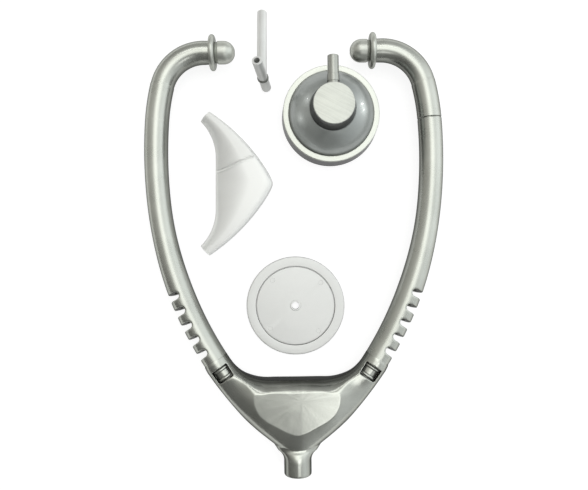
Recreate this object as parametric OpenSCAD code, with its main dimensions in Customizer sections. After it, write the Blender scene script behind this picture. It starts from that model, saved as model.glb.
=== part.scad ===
// Toy stethoscope set laid flat on a table: headset, bell, diaphragm disc, yoke back cover and tee.
// Millimetres. +Z is up, the table is z = 0, +Y runs from the hose outlet to the ear tips.

/* [Arms] */
// Half distance between the two arm centre lines at their widest
half_span = 70.1; // [67:0.1:73]
// Height of the widest place above the hose outlet
widest_y = 164.2; // [160:0.1:168]
// Radius of the upper arm curve
upper_arc_r = 240; // [230:1:250]
// Radius of the lower arm curve
lower_arc_r = 184; // [180:1:188]
// Angle below the widest place at which the two curves meet
arc_join_deg = 5.5; // [4:0.1:7]
// Radius of the arm tube
arm_r = 6.3; // [6:0.05:6.5]
// Radius of the air bore in arms and ear tubes
bore_r = 3; // [2.6:0.1:3.2]

/* [Flexing necks] */
// Distance along the arm from the yoke's inner corner to the seam of the neck
neck_run = 3.2; // [2.8:0.1:4]
// Length of the slotted neck from its seam to the arm tube
neck_len = 42.1; // [41:0.1:44]
// Distance from the neck's upper end to its first slot
slot_start = 4.4; // [4:0.1:5]
// Distance from slot to slot
slot_pitch = 8.26; // [7.6:0.01:8.4]
// Number of slots in each neck
slot_count = 5; // [3:1:5]
// Width of a slot along the arm
slot_w = 3.7; // [3:0.1:4]
// Depth of a slot from the outer side
slot_depth = 5.2; // [4:0.1:6]
// Lean of the slots through the thickness
slot_tilt_deg = 10.5; // [0:0.5:12]

/* [Snap plugs] */
// Radius of the plug's flanges
flange_r = 4.9; // [4.6:0.1:5]
// Radius of the plug between its flanges
plug_r = 3.7; // [3.5:0.1:4]
// Clearance of the plug in its socket
plug_gap = 0.25; // [0.15:0.05:0.4]

/* [Ear tubes] */
// Angle above the widest place of the seam between arm and ear tube
ear_seam_deg = 4.27; // [3.5:0.01:5]
// Radius of the ear tube
ear_tube_r = 5.9; // [5.6:0.1:6]
// Radius of the ear tube's long curve
ear_arc_r = 110; // [105:1:115]
// Radius of the bend towards the ear
ear_bend_r = 22; // [21:0.1:23]
// Height of the ear axis above the hose outlet
ear_axis_y = 216.9; // [215:0.1:218]
// Length of the ear tube's straight end
ear_straight = 3.1; // [2.8:0.1:3.6]
// Length of the spigots that plug one piece into the next
spigot_len = 7; // [5:0.5:8]
// Clearance of a spigot in its bore
spigot_gap = 0.1; // [0.05:0.05:0.2]
// Radius of the air hole through the spigots
spigot_hole_r = 1.6; // [1.2:0.1:1.8]

/* [Ear collars and tips] */
// Radius of the ear collar
collar_r = 9; // [8.6:0.1:9.2]
// Thickness of the ear collar
collar_t = 2.8; // [2.4:0.1:3.2]
// Radius of the tip's neck
tip_neck_r = 4.9; // [4.5:0.1:5.2]
// Length of the tip's neck
tip_neck_len = 1.1; // [0.8:0.1:1.4]
// Radius of the ear tip
tip_r = 5.75; // [5.5:0.05:6]
// Length of the tip's straight part
tip_barrel = 3.2; // [2.8:0.1:3.6]

/* [Yoke] */
// Height of the yoke from its lower point to its top edge
yoke_depth = 42.8; // [42:0.1:43.6]
// Radius of the inner corner between yoke and arm
yoke_fillet_r = 24; // [22:0.1:26]
// Inner edge's distance from the arm's centre line
yoke_in = 6.5; // [6.4:0.1:6.8]
// Outer edge's distance from the arm's centre line at the seam
yoke_out_seam = 6.8; // [6.6:0.1:7]
// Outer edge's distance from the arm's centre line along the body
yoke_out = 7.1; // [6.9:0.1:7.3]
// Drop of the outer edge towards the hose outlet
yoke_tuck = 1.1; // [0.8:0.1:1.4]
// Half thickness of the yoke at the seam
yoke_half_seam = 6.6; // [6.5:0.1:6.8]
// Half thickness of the yoke in the middle
yoke_half_mid = 10; // [9.6:0.1:10.4]
// Height of the flat shield face above the arm plane
shield_h = 8.6; // [8.4:0.1:8.8]
// Wall between the yoke's edge and its back opening
yoke_wall = 3; // [2.8:0.1:3.2]
// Depth of the back opening
cavity_depth = 13.2; // [12.5:0.1:13.4]
// Distance along the arm from the neck's seam to the middle of the window
window_run = 6.6; // [6.4:0.1:6.8]
// Window size across the arm
window_w = 8.8; // [8.4:0.1:9]
// Window size along the arm
window_l = 6.9; // [6.5:0.1:7]

/* [Hose outlet] */
// Outer radius of the outlet
outlet_r = 7; // [6.8:0.1:7.2]
// Bore of the outlet
outlet_bore_r = 4.3; // [4:0.1:4.6]
// Depth of the outlet's bore
outlet_bore_len = 23.5; // [22:0.1:24]
// Length of the straight outlet
outlet_len = 9; // [8.5:0.1:10]
// Reach of the outlet below the yoke's lower point
outlet_reach = 6.9; // [6.6:0.1:7.2]
// Radius of the hollow between outlet and yoke
outlet_flare_r = 6; // [5:0.1:6.5]
// Drop of the hollow's top where it runs into the yoke
outlet_flare_drop = 1; // [0.6:0.1:1.4]

/* [Bell] */
// Bell axis, X
bell_x = 19.3; // [18:0.1:20]
// Distance of the bell's axis below the ear axis
bell_below_ears = 32.3; // [31:0.1:33.5]
// Radius at the table
bell_base_r = 25.2; // [24.8:0.1:25.5]
// Outer radius of the rim ring
rim_r = 24.5; // [24.3:0.1:24.7]
// Inner radius of the rim ring
rim_in_r = 21.6; // [21.4:0.1:21.8]
// Height of the rim ring's flat top
rim_z = 12; // [11.8:0.1:12.4]
// Thickness of the rim ring
rim_t = 2; // [1.8:0.1:2.2]
// Thickness of the bell's wall
bell_wall = 1.8; // [1.6:0.1:2]
// Radius of the dome's curve
dome_r = 18.1; // [17.9:0.1:18.2]
// Radius of the hub where it leaves the dome
hub_base_r = 11.6; // [11.4:0.1:11.8]
// Radius of the hub's top
hub_r = 9.9; // [9.5:0.1:10.2]
// Height of the hub's top
hub_z = 33.5; // [33:0.1:34]
// Height of the stem's axis
stem_z = 28.5; // [28:0.1:29]
// Radius of the stem's boss
boss_r = 2.95; // [2.8:0.05:3.1]
// Reach of the boss from the bell axis
boss_reach = 14.6; // [14:0.1:15]
// Radius of the stem
stem_r = 2.65; // [2.5:0.05:2.75]
// Reach of the stem from the bell axis
stem_reach = 23.7; // [23:0.1:24.4]
// Bore of the stem
stem_bore_r = 1.5; // [1.2:0.1:1.6]

/* [Diaphragm disc] */
// Disc axis, X
disc_x = -0.1; // [-1:0.1:1]
// Distance of the disc's edge above the yoke's top edge
disc_clear = 11.3; // [10:0.1:13]
// Radius of the disc
disc_r = 25.6; // [25:0.1:26]
// Thickness of the disc's outer ring
disc_t = 2.4; // [2.2:0.1:2.8]
// Radius of the sunk middle
disc_sunk_r = 20.7; // [20:0.1:21]
// Depth of the sunk middle
disc_sunk = 0.5; // [0.3:0.1:0.7]
// Radius of the centre hole
disc_hole_r = 1.9; // [1.7:0.1:2.1]
// Radius of the raised ring round the hole
disc_ring_r = 2.6; // [2.4:0.1:2.8]

/* [Back cover] */
// Middle of the cover's hollow side, X
cover_x = -41.2; // [-42:0.1:-40]
// Distance of the cover's middle below the ear axis
cover_below_ears = 65.9; // [65:0.1:67]
// Turn of the cover about Z
cover_turn_deg = 89.2; // [88:0.1:90]
// Reach of the cover from its hollow edge to its point
cover_reach = 30; // [29:0.1:31]
// Rounding of the point
cover_nose_r = 3; // [2:0.1:4]
// Radius of the cover's two outer edges
cover_arc_r = 104; // [98:1:112]
// Direction of the horn ends, seen from the middle of the yoke's inner corner
cover_horn_deg = 45.3; // [44:0.1:47]
// Width of the horn ends
cover_horn_w = 7; // [6.6:0.1:7.4]
// Height of the cover at its horns
cover_h_horn = 4.6; // [4:0.1:5]
// Height of the cover in the middle
cover_h_mid = 7; // [6.5:0.1:7.5]
// Place of the cover's crest, as a share of the way from its hollow edge to its outer edge
cover_crest = 0.62; // [0.55:0.01:0.7]
// Thickness of the cover's shell
cover_wall = 1.4; // [1.2:0.1:1.6]
// Clearance of the cover in the yoke's back opening
cover_gap = 0.3; // [0.2:0.05:0.4]

/* [Tee connector] */
// Middle of the tee, X
tee_x = -15.5; // [-17:0.1:-15]
// Distance of the tee's middle below the ear axis
tee_below_ears = 12.6; // [12:0.1:15]
// Outer radius of the tee's tubes
tee_r = 2.5; // [2.4:0.05:2.6]
// Bore of the tee's tubes
tee_bore_r = 1.5; // [1.3:0.1:1.6]
// Length of each leg from the middle
tee_leg = 12.5; // [12:0.1:13]
// Lean of the branch towards the table
tee_lean_deg = 16.1; // [15.5:0.1:16.5]
// Roll of the legs to the left
tee_roll_deg = 8; // [6:0.5:9]
// Radius of the collar below the branch
tee_collar_r = 2.9; // [2.8:0.05:3.1]
// Length of the collar
tee_collar_len = 1.4; // [1.2:0.1:1.6]
// Radius of the branch's root
tee_root_r = 3.1; // [3:0.05:3.3]
// Reach of the branch's root from the middle
tee_root_len = 3.3; // [3.2:0.1:3.6]

/* [Hidden] */
$fn = 64;
// Overlap and step by which one curved length runs into the next
lap = 0.4;
lap_step = 0.05;
arm_z = collar_r;

// Arm curves: each centre follows from the one before, so the curves stay tangent
upper_c = [half_span - upper_arc_r, widest_y];
lower_c = upper_c + (upper_arc_r - lower_arc_r) * [cos(arc_join_deg), -sin(arc_join_deg)];
ear_c = upper_c + (upper_arc_r - ear_arc_r) * [cos(ear_seam_deg), sin(ear_seam_deg)];
ear_bend_deg = asin((ear_axis_y - ear_bend_r - ear_c[1]) / (ear_arc_r - ear_bend_r));
bend_c = ear_c + (ear_arc_r - ear_bend_r) * [cos(ear_bend_deg), sin(ear_bend_deg)];

ear_tube_end_x = bend_c[0] - ear_straight;

spigot_r = bore_r - spigot_gap;
spigot_deg = spigot_len / upper_arc_r * 180 / PI;
collar_end_x = ear_tube_end_x - collar_t;
tip_start_x = collar_end_x - tip_neck_len;
tip_dome_x = tip_start_x - tip_barrel;

// Yoke and cover outlines share one rule: distances are measured inward from the yoke's inner edge
yoke_low_y = lower_c[1] - sqrt(pow(lower_arc_r + yoke_out - yoke_tuck, 2) - pow(lower_c[0], 2));
outlet_y = yoke_low_y - outlet_reach;
yoke_top_y = yoke_low_y + yoke_depth;
fillet_y = yoke_top_y + yoke_fillet_r;
inner_r = lower_arc_r - yoke_in;
fillet_x = lower_c[0] + sqrt(pow(inner_r - yoke_fillet_r, 2) - pow(fillet_y - lower_c[1], 2));
fillet_deg = asin((lower_c[1] - fillet_y) / (inner_r - yoke_fillet_r));

// Stations along the lower curve, as angles
deg_per_mm = 180 / PI / lower_arc_r;
neck_end_deg = fillet_deg - neck_run * deg_per_mm;
neck_top_deg = neck_end_deg - neck_len * deg_per_mm;
slot_first_deg = neck_top_deg + slot_start * deg_per_mm;
slot_pitch_deg = slot_pitch * deg_per_mm;
window_deg = neck_end_deg + window_run * deg_per_mm;
flange_l = 1.9;
flange_a_deg = window_deg - 2.3 * deg_per_mm;
flange_b_deg = window_deg + 2.3 * deg_per_mm;
plug_end_deg = flange_b_deg + 3 * deg_per_mm;
socket_r = flange_r + plug_gap;
socket_end_deg = plug_end_deg + plug_gap * deg_per_mm;

// Numbers of sections and of points round each
yoke_steps_neck = 5;
yoke_steps_body = 16;
yoke_round = 32;
cover_steps = 14;
cover_round = 10;

// Tee: the branch is as long as it takes for a leg end and the branch end to rest on the table
tee_leg_up = cos(tee_lean_deg) * cos(tee_roll_deg);
tee_z = tee_leg * tee_leg_up + tee_r * sqrt(1 - tee_leg_up * tee_leg_up);
tee_branch = (tee_z - tee_r * cos(tee_lean_deg)) / sin(tee_lean_deg);
tee_reach_y = tee_branch * cos(tee_lean_deg) + tee_r * sin(tee_lean_deg);

// The frame's middle lies halfway between the outlet's end and the end of the tee's branch
tee_end_y = ear_axis_y - tee_below_ears + tee_reach_y;
headset_y = -(outlet_y + tee_end_y) / 2;
tee_y = headset_y + ear_axis_y - tee_below_ears;
bell_y = headset_y + ear_axis_y - bell_below_ears;
cover_y = headset_y + ear_axis_y - cover_below_ears;
disc_y = headset_y + yoke_top_y + disc_clear + disc_r;

// Helpers

function lap_deg(r) = lap / r * 180 / PI;
function polar(c, r, deg) = c + r * [cos(deg), sin(deg)];
function ease(v) = let (t = min(1, max(0, v))) t * t * (3 - 2 * t);
function signed_pow(v, e) = sign(v) * pow(abs(v), e);
function arc_list(c, r, from, to, n) = [for (i = [0:n]) polar(c, r, from + (to - from) * i / n)];

// Puts the headset's plane, measured from the hose outlet, into the shared frame
module headset_frame() {
    translate([0, headset_y, arm_z]) children();
}

// Draws its children on the right side, or mirrored on the left
module on_side(side) {
    if (side == "right") {
        headset_frame() children();
    } else {
        headset_frame() mirror([1, 0, 0]) children();
    }
}

// Curved rod: a circle of radius r swept round centre c from one angle to another
module curved_rod(c, sweep_r, r, from, to) {
    translate([c[0], c[1], 0])
        rotate([0, 0, from])
            rotate_extrude(angle = to - from, $fn = 360)
                translate([sweep_r, 0])
                    circle(r = r, $fn = 48);
}

// Straight rod along X between two places
module rod_x(x0, x1, y, r) {
    translate([x0, y, 0])
        rotate([0, 90, 0])
            cylinder(r = r, h = x1 - x0);
}

// Moves to a place on the lower curve: x points outward, y up the arm
module on_lower_curve(deg) {
    translate([lower_c[0], lower_c[1], 0])
        rotate([0, 0, -deg])
            translate([lower_arc_r, 0, 0])
                children();
}

// Arms

module neck_slot() {
    end_x = arm_r - slot_depth + slot_w / 2;
    rotate([-slot_tilt_deg, 0, 0])
        translate([0, 0, -2 * arm_r])
            linear_extrude(height = 4 * arm_r) {
                translate([end_x, 0])
                    circle(d = slot_w, $fn = 40);
                translate([end_x, -slot_w / 2])
                    square([slot_depth + arm_r, slot_w]);
            }
}

module flex_neck() {
    difference() {
        curved_rod(lower_c, lower_arc_r, arm_r, -neck_end_deg, -neck_top_deg);
        for (i = [0:slot_count - 1])
            on_lower_curve(slot_first_deg + i * slot_pitch_deg) neck_slot();
        curved_rod(lower_c, lower_arc_r, bore_r, -neck_end_deg - 0.1, -neck_top_deg + 0.1);
    }
    difference() {
        union() {
            curved_rod(lower_c, lower_arc_r, plug_r, -plug_end_deg, -neck_end_deg + 0.02);
            curved_rod(lower_c, lower_arc_r, flange_r, -flange_a_deg - flange_l / 2 * deg_per_mm,
                -flange_a_deg + flange_l / 2 * deg_per_mm);
            curved_rod(lower_c, lower_arc_r, flange_r, -flange_b_deg - flange_l / 2 * deg_per_mm,
                -flange_b_deg + flange_l / 2 * deg_per_mm);
        }
        curved_rod(lower_c, lower_arc_r, spigot_hole_r, -plug_end_deg - 0.1, -neck_end_deg + 0.1);
    }
}

module arm_tube() {
    difference() {
        union() {
            curved_rod(lower_c, lower_arc_r, arm_r, -neck_top_deg, -arc_join_deg + lap_deg(lower_arc_r));
            curved_rod(upper_c, upper_arc_r, arm_r - lap_step, -arc_join_deg, ear_seam_deg);
        }
        curved_rod(lower_c, lower_arc_r, bore_r, -neck_top_deg - lap_deg(lower_arc_r),
            -arc_join_deg + lap_deg(lower_arc_r));
        curved_rod(upper_c, upper_arc_r, bore_r - lap_step, -arc_join_deg - lap_deg(upper_arc_r),
            ear_seam_deg + lap_deg(upper_arc_r));
    }
}

module ear_tube() {
    difference() {
        union() {
            curved_rod(ear_c, ear_arc_r, ear_tube_r, ear_seam_deg, ear_bend_deg);
            curved_rod(bend_c, ear_bend_r, ear_tube_r - lap_step, ear_bend_deg - lap_deg(ear_bend_r), 90);
            rod_x(ear_tube_end_x, bend_c[0] + lap, ear_axis_y, ear_tube_r - 2 * lap_step);
            curved_rod(upper_c, upper_arc_r, spigot_r, ear_seam_deg - spigot_deg,
                ear_seam_deg + lap_deg(upper_arc_r));
        }
        curved_rod(upper_c, upper_arc_r, spigot_hole_r, ear_seam_deg - spigot_deg - lap_deg(upper_arc_r),
            ear_seam_deg + 2 * lap_deg(upper_arc_r));
        curved_rod(ear_c, ear_arc_r, spigot_hole_r + lap_step, ear_seam_deg + lap_deg(ear_arc_r),
            ear_bend_deg);
        curved_rod(bend_c, ear_bend_r, spigot_hole_r, ear_bend_deg - lap_deg(ear_bend_r), 90);
        rod_x(ear_tube_end_x - 1, bend_c[0] + lap, ear_axis_y, bore_r);
    }
}

// Ring with rounded rim on the ear axis; the tip's spigot passes through it
module ear_collar() {
    edge_r = collar_t / 2;
    translate([collar_end_x, ear_axis_y, 0])
        rotate([0, 90, 0])
            rotate_extrude()
                polygon(concat(
                    [[bore_r, 0]],
                    arc_list([collar_r - edge_r, edge_r], edge_r, -90, 90, 12),
                    [[bore_r, collar_t]]));
}

// Ball tip with its neck and the spigot that holds collar and tip in the ear tube
module ear_tip() {
    translate([ear_tube_end_x + 3.5, ear_axis_y, 0])
        rotate([0, -90, 0])
            rotate_extrude()
                polygon(concat(
                    [[spigot_hole_r, 0], [spigot_r, 0]],
                    [[spigot_r, ear_tube_end_x + 3.5 - collar_end_x]],
                    [[tip_neck_r, ear_tube_end_x + 3.5 - collar_end_x]],
                    [[tip_neck_r, ear_tube_end_x + 3.5 - tip_start_x]],
                    [[tip_r - 0.5, ear_tube_end_x + 3.5 - tip_start_x]],
                    [[tip_r, ear_tube_end_x + 4 - tip_start_x]],
                    arc_list([0, ear_tube_end_x + 3.5 - tip_dome_x], tip_r, 0,
                        acos(spigot_hole_r / tip_r), 12)));
}

// Yoke

// Inner edge of the outline, moved inward by off: part 0 at the fillet's start, part 1 in the middle
function inner_edge(part, off) =
    let (r = yoke_fillet_r + off,
         arc_len = r * (90 - fillet_deg) * PI / 180,
         run = part * (arc_len + fillet_x))
    run < arc_len
        ? polar([fillet_x, fillet_y], r, -fillet_deg - run / r * 180 / PI)
        : [fillet_x - (run - arc_len), fillet_y - r];

// Outer edge of the outline, which draws in towards the hose outlet
function outer_edge(part) =
    let (r = lower_arc_r + yoke_out - yoke_tuck * ease((part - 0.4) / 0.4),
         end_deg = acos(-lower_c[0] / r))
    polar(lower_c, r, -(fillet_deg + part * (end_deg - fillet_deg)));

// Section of the yoke between two edge places: half thickness, crest place, and how square the
// upper inner quarter and the lower half are
function yoke_ring(a, b, half, crest, square_in, square_low) = [
    for (i = [0:yoke_round - 1])
        let (t = 360 * i / yoke_round,
             inner = cos(t) < 0,
             e = 2 / (sin(t) < -0.001 ? square_low : inner ? square_in : 2),
             w = signed_pow(cos(t), e),
             s = crest + w * (inner ? crest : 1 - crest),
             p = a + (b - a) * s)
        [p[0], p[1], half * signed_pow(sin(t), e)]];

// Sections of the right half, from the arm seam to the middle
yoke_half_rings = concat(
    [for (i = [0:yoke_steps_neck - 1])
        let (part = i / yoke_steps_neck,
             deg = neck_end_deg + (fillet_deg - neck_end_deg) * part,
             out = yoke_out_seam + (yoke_out - yoke_out_seam) * part)
        yoke_ring(polar(lower_c, inner_r, -deg), polar(lower_c, lower_arc_r + out, -deg),
            yoke_half_seam, 0.5, 2, 2)],
    [for (i = [0:yoke_steps_body])
        let (part = i / yoke_steps_body,
             swell = ease((part - 0.1) / 0.7),
             rise = ease((part - 0.2) / 0.5))
        yoke_ring(inner_edge(part, 0), outer_edge(part),
            yoke_half_seam + (yoke_half_mid - yoke_half_seam) * rise,
            0.5 - 0.18 * swell, 2 + 0.5 * ease(2 * part - 1), 2 + 6 * rise)]);
yoke_half_count = len(yoke_half_rings);
yoke_rings = concat(
    yoke_half_rings,
    [for (i = [yoke_half_count - 2:-1:0]) [for (p = yoke_half_rings[i]) [-p[0], p[1], p[2]]]]);

function flat_list(rings) = [for (ring = rings) each ring];
function skin_faces(count, m) = [
    for (i = [0:count - 2], j = [0:m - 1])
        let (a = i * m + j, b = i * m + (j + 1) % m)
        each [[a, a + m, b + m], [a, b + m, b]]];
function first_cap(m) = [[for (j = [0:m - 1]) j]];
function last_cap(count, m) = [[for (j = [m - 1:-1:0]) (count - 1) * m + j]];

module yoke_loft() {
    polyhedron(
        points = flat_list(yoke_rings),
        faces = concat(
            skin_faces(len(yoke_rings), yoke_round),
            first_cap(yoke_round),
            last_cap(len(yoke_rings), yoke_round)),
        convexity = 6);
}

// Outline of the back cover, grown all round by gap, in the headset's plane
// The hollow edge keeps the wall's distance from the yoke's inner edge. Each outer edge is an arc
// from the horn's corner to the point, where the two are rounded into each other.
cover_in_r = yoke_fillet_r + yoke_wall;
cover_corner = polar([fillet_x, fillet_y], cover_in_r + cover_horn_w, -cover_horn_deg);
cover_apex_y = yoke_top_y - yoke_wall - cover_reach;
cover_slope = 0.62;
cover_nose = cover_nose_r * cover_slope;
cover_tip = [0, cover_apex_y - cover_slope * cover_nose];
cover_chord = cover_tip - cover_corner;
cover_c = (cover_tip + cover_corner) / 2 + [cover_chord[1], -cover_chord[0]] / norm(cover_chord)
    * sqrt(pow(cover_arc_r, 2) - pow(norm(cover_chord) / 2, 2));
cover_from_deg = atan2(cover_corner[1] - cover_c[1], cover_corner[0] - cover_c[0]);
cover_to_deg = atan2(cover_tip[1] - cover_c[1], cover_tip[0] - cover_c[0]);

function cover_inner(part, gap) =
    let (r = cover_in_r - gap,
         from_deg = cover_horn_deg - gap / r * 180 / PI,
         arc_len = r * (90 - from_deg) * PI / 180,
         run = part * (arc_len + fillet_x))
    run < arc_len
        ? polar([fillet_x, fillet_y], r, -from_deg - run / r * 180 / PI)
        : [fillet_x - (run - arc_len), fillet_y - r];
function cover_outer(part, gap) =
    let (r = cover_arc_r + gap,
         from_deg = cover_from_deg + gap / r * 180 / PI,
         to_deg = -acos(-cover_c[0] / r),
         p = polar(cover_c, r, from_deg + part * (to_deg - from_deg)))
    [p[0], p[1] + cover_slope * (sqrt(p[0] * p[0] + cover_nose * cover_nose) - p[0])];

module cover_opening(gap) {
    half = concat(
        [for (i = [0:cover_steps]) cover_inner(i / cover_steps, gap)],
        [for (i = [cover_steps:-1:0]) cover_outer(i / cover_steps, gap)]);
    polygon(half);
    mirror([1, 0]) polygon(half);
}

// Outlet tube about the Y axis, rounded at its free end
module outlet_solid() {
    edge = outlet_r - outlet_bore_r - 1.8;
    translate([0, outlet_y, 0]) rotate([-90, 0, 0])
        rotate_extrude()
            polygon(concat(
                [[0, 0]],
                arc_list([outlet_r - edge, edge], edge, -90, 0, 6),
                [[outlet_r, outlet_len + 0.5], [0, outlet_len + 0.5]]));
}

// Hollow flare between outlet and yoke: it widens across the yoke and drops towards it
flare_steps = 8;
flare_rings = [
    for (i = [0:flare_steps])
        let (t = 60 * i / flare_steps,
             y = outlet_y + outlet_len + outlet_flare_r * sin(t),
             half_w = outlet_r - 0.01 + outlet_flare_r * (1 - cos(t)),
             half_h = outlet_r - 0.01 - outlet_flare_drop * pow(i / flare_steps, 2))
        [for (j = [0:yoke_round - 1])
            let (a = 360 * j / yoke_round)
            [half_w * cos(a), y, half_h * sin(a)]]];

module outlet_flare() {
    polyhedron(
        points = flat_list(flare_rings),
        faces = concat(
            [for (f = skin_faces(len(flare_rings), yoke_round)) [f[0], f[2], f[1]]],
            [[for (j = [yoke_round - 1:-1:0]) j]],
            [[for (j = [0:yoke_round - 1]) flare_steps * yoke_round + j]]),
        convexity = 4);
}

module yoke_body() {
    color([0.72, 0.73, 0.74])
        headset_frame()
            difference() {
                union() {
                    yoke_loft();
                    outlet_solid();
                    outlet_flare();
                }
                translate([-half_span, outlet_y - arm_z, shield_h])
                    cube([2 * half_span, 2 * half_span, arm_z]);
                translate([-half_span, outlet_y - arm_z, -2 * arm_z])
                    cube([2 * half_span, 2 * half_span, arm_z]);
                translate([0, 0, -arm_z - 1])
                    linear_extrude(height = cavity_depth + 1)
                        cover_opening(cover_gap);
                translate([0, outlet_y - 1, 0])
                    rotate([-90, 0, 0])
                        cylinder(r = outlet_bore_r, h = outlet_bore_len + 1);
                for (side = [0, 1])
                    mirror([side, 0, 0]) {
                        curved_rod(lower_c, lower_arc_r, socket_r, -socket_end_deg, -neck_end_deg + 0.5);
                        on_lower_curve(window_deg)
                            translate([-window_w / 2, -window_l / 2, 0])
                                cube([window_w, window_l, 2 * arm_z]);
                    }
            }
}

module left_flex_neck() {
    color([0.72, 0.73, 0.74]) on_side("left") flex_neck();
}

module right_flex_neck() {
    color([0.72, 0.73, 0.74]) on_side("right") flex_neck();
}

module left_arm_tube() {
    color([0.72, 0.73, 0.74]) on_side("left") arm_tube();
}

module right_arm_tube() {
    color([0.72, 0.73, 0.74]) on_side("right") arm_tube();
}

module left_ear_tube() {
    color([0.70, 0.71, 0.72]) on_side("left") ear_tube();
}

module right_ear_tube() {
    color([0.70, 0.71, 0.72]) on_side("right") ear_tube();
}

module left_ear_collar() {
    color([0.66, 0.67, 0.69]) on_side("left") ear_collar();
}

module right_ear_collar() {
    color([0.66, 0.67, 0.69]) on_side("right") ear_collar();
}

module left_ear_tip() {
    color([0.66, 0.67, 0.69]) on_side("left") ear_tip();
}

module right_ear_tip() {
    color([0.66, 0.67, 0.69]) on_side("right") ear_tip();
}

// Bell

dome_c = [hub_base_r - 7.4, rim_z - 4.9];
dome_from_deg = asin(4.9 / dome_r);
dome_to_deg = acos((hub_base_r - dome_c[0]) / dome_r);
skirt_top_z = rim_z - rim_t;
skirt_top_r = rim_r - 0.7;
seat_r = rim_in_r - 0.1;

module bell_frame() {
    translate([bell_x, bell_y, 0]) children();
}

// Skirt, dome and hub in one moulding, hollow below
module bell_dome() {
    color([0.42, 0.43, 0.45])
        bell_frame()
            difference() {
                rotate_extrude($fn = 180)
                    polygon(concat(
                        [[bell_base_r - bell_wall, 0], [bell_base_r, 0], [bell_base_r - 0.1, 0.8]],
                        [[skirt_top_r, skirt_top_z], [seat_r, skirt_top_z]],
                        [[seat_r, rim_z]],
                        arc_list(dome_c, dome_r, dome_from_deg, dome_to_deg, 20),
                        [[hub_base_r - 0.6, hub_z - 9], [hub_r + 0.1, hub_z - 0.6], [hub_r - 0.5, hub_z]],
                        [[0, hub_z], [0, hub_z - 2.4], [hub_r - 2.2, hub_z - 2.4], [hub_r - 2, hub_z - 11]],
                        [[hub_base_r - 2, dome_c[1] + (dome_r - bell_wall) * sin(dome_to_deg)]],
                        [for (i = [0:16])
                            polar(dome_c, dome_r - bell_wall, dome_to_deg
                                + (dome_from_deg - dome_to_deg) * i / 16)],
                        [[rim_in_r - bell_wall, skirt_top_z - 1.2]],
                        [[skirt_top_r - bell_wall, skirt_top_z - 1.2]]));
                translate([0, 0, stem_z])
                    rotate([-90, 0, 0])
                        cylinder(r = stem_r + spigot_gap, h = boss_reach);
            }
}

// Flat ring that sits on the skirt's shoulder round the dome
module bell_rim() {
    color([0.80, 0.81, 0.82])
        bell_frame()
            rotate_extrude($fn = 180)
                polygon([
                    [rim_in_r, skirt_top_z], [rim_r - 0.3, skirt_top_z], [rim_r, skirt_top_z + 0.3],
                    [rim_r, rim_z - 0.3], [rim_r - 0.3, rim_z], [rim_in_r, rim_z]]);
}

// Stem with its boss, plugged into the side of the hub
module bell_stem() {
    color([0.66, 0.67, 0.69])
        bell_frame()
            translate([0, 0, stem_z])
                rotate([-90, 0, 0])
                    difference() {
                        union() {
                            translate([0, 0, hub_r - 3])
                                cylinder(r = stem_r, h = stem_reach - hub_r + 3);
                            translate([0, 0, hub_base_r - 0.2])
                                cylinder(r = boss_r, h = boss_reach - hub_base_r + 0.2);
                        }
                        translate([0, 0, hub_r - 4])
                            cylinder(r = stem_bore_r, h = stem_reach);
                    }
}

// Loose pieces

module diaphragm_disc() {
    color([0.85, 0.85, 0.86])
        translate([disc_x, disc_y, 0])
            rotate_extrude($fn = 180)
                polygon([
                    [disc_hole_r, 0], [disc_r - 0.4, 0], [disc_r, 0.4],
                    [disc_r, disc_t - 0.4], [disc_r - 0.4, disc_t],
                    [disc_sunk_r, disc_t], [disc_sunk_r - 0.3, disc_t - disc_sunk],
                    [disc_ring_r + 0.2, disc_t - disc_sunk], [disc_ring_r, disc_t - 0.1],
                    [disc_hole_r, disc_t - 0.1]]);
}

// One arch of the cover: the outer skin's points, then the inner skin's points back again
function cover_ring(a, b, h) =
    let (w = norm(b - a), t = cover_wall / w)
    concat(
        [for (i = [0:cover_round]) arch_point(a, b, h, 180 * i / cover_round, 0)],
        [for (i = [cover_round:-1:0]) arch_point(a, b, h - cover_wall, 180 * i / cover_round, t)]);
// A point of an arch that rises slowly from its hollow edge a and falls steeply at its outer edge b
function arch_point(a, b, h, deg, t) =
    let (
        outer = cos(deg) > 0,
        e = 2 / (outer ? 4 : 2.3),
        s = cover_crest + signed_pow(cos(deg), e) * ((outer ? 1 - cover_crest : cover_crest) - t),
        p = a + (b - a) * s)
    [p[0], p[1], h * signed_pow(sin(deg), e)];

cover_half_rings = [
    for (i = [0:cover_steps])
        let (part = i / cover_steps, swell = 1 - pow(1 - part, 2))
        cover_ring(cover_inner(part, 0), cover_outer(part, 0),
            cover_h_horn + (cover_h_mid - cover_h_horn) * swell)];
cover_half_count = len(cover_half_rings);
cover_rings = concat(
    cover_half_rings,
    [for (i = [cover_half_count - 2:-1:0]) [for (p = cover_half_rings[i]) [-p[0], p[1], p[2]]]]);
cover_loop = 2 * (cover_round + 1);

// End faces of the arch, one quad between each pair of outer and inner points
function arch_cap(base, flip) = [
    for (j = [0:cover_round - 1])
        let (a = base + j, b = base + j + 1,
             c = base + cover_loop - 2 - j, d = base + cover_loop - 1 - j)
        each (flip ? [[a, c, b], [a, d, c]] : [[a, b, c], [a, c, d]])];

module yoke_back_cover() {
    color([0.82, 0.82, 0.83])
        translate([cover_x, cover_y, 0])
            rotate([0, 0, cover_turn_deg])
                translate([0, -(yoke_top_y - yoke_wall), 0])
                    polyhedron(
                        points = flat_list(cover_rings),
                        faces = concat(
                            skin_faces(len(cover_rings), cover_loop),
                            arch_cap(0, false),
                            arch_cap((len(cover_rings) - 1) * cover_loop, true)),
                        convexity = 6);
}

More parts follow.
